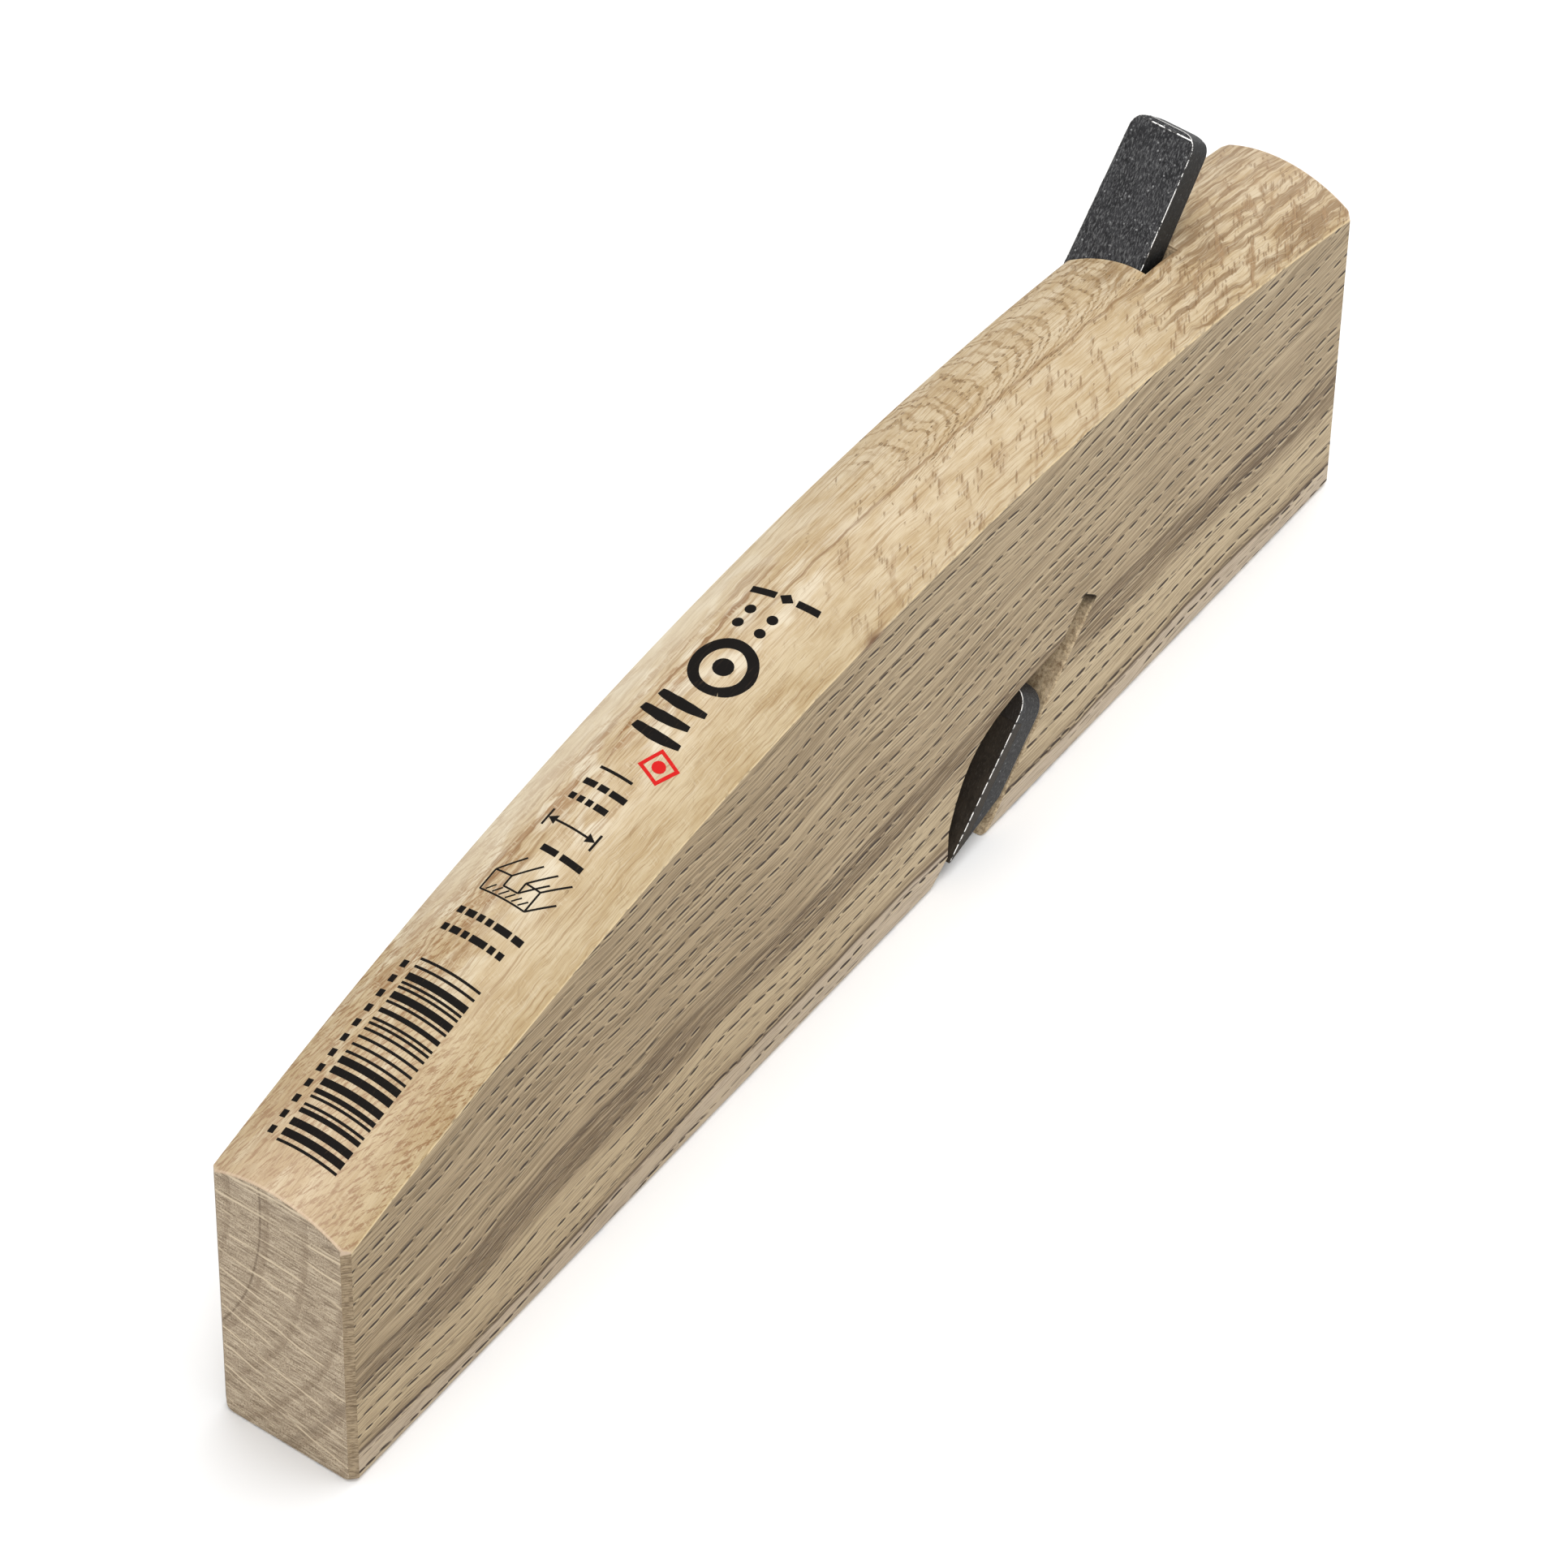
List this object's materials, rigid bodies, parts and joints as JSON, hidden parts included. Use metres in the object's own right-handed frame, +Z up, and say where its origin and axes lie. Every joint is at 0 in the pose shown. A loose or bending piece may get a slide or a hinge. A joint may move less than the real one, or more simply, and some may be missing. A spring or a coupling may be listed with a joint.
{
  "type": "grooving plane",
  "caption": "Small comb-shaped grooving plane: narrow arched oak body with an L-shaped forged iron whose full-width head cuts trenches and sliding-door tracks",
  "frame": {"origin": "middle of the sole's length and width, on the plane of the sole", "axes": "+X along the body to the toe, +Y to the side that the tang is furthest from, +Z up out of the sole"},
  "size_m": [0.18, 0.018, 0.061],
  "materials": {
    "oak": "planed, unvarnished white oak",
    "forged_iron": "matt black forge scale",
    "edge_steel": "ground and blackened, bright at the bevel"
  },
  "bodies": {
    "stock": {"body": "oak"},
    "iron": {"blade_iron": "forged_iron", "edge_steel": "edge_steel"}
  },
  "joints": [
    {"name": "blade_slide", "type": "slide", "parent": "stock", "child": "iron", "axis": [0.6896, 0, -0.7242], "range_m": [-0.0015, 0.07]}
  ]
}
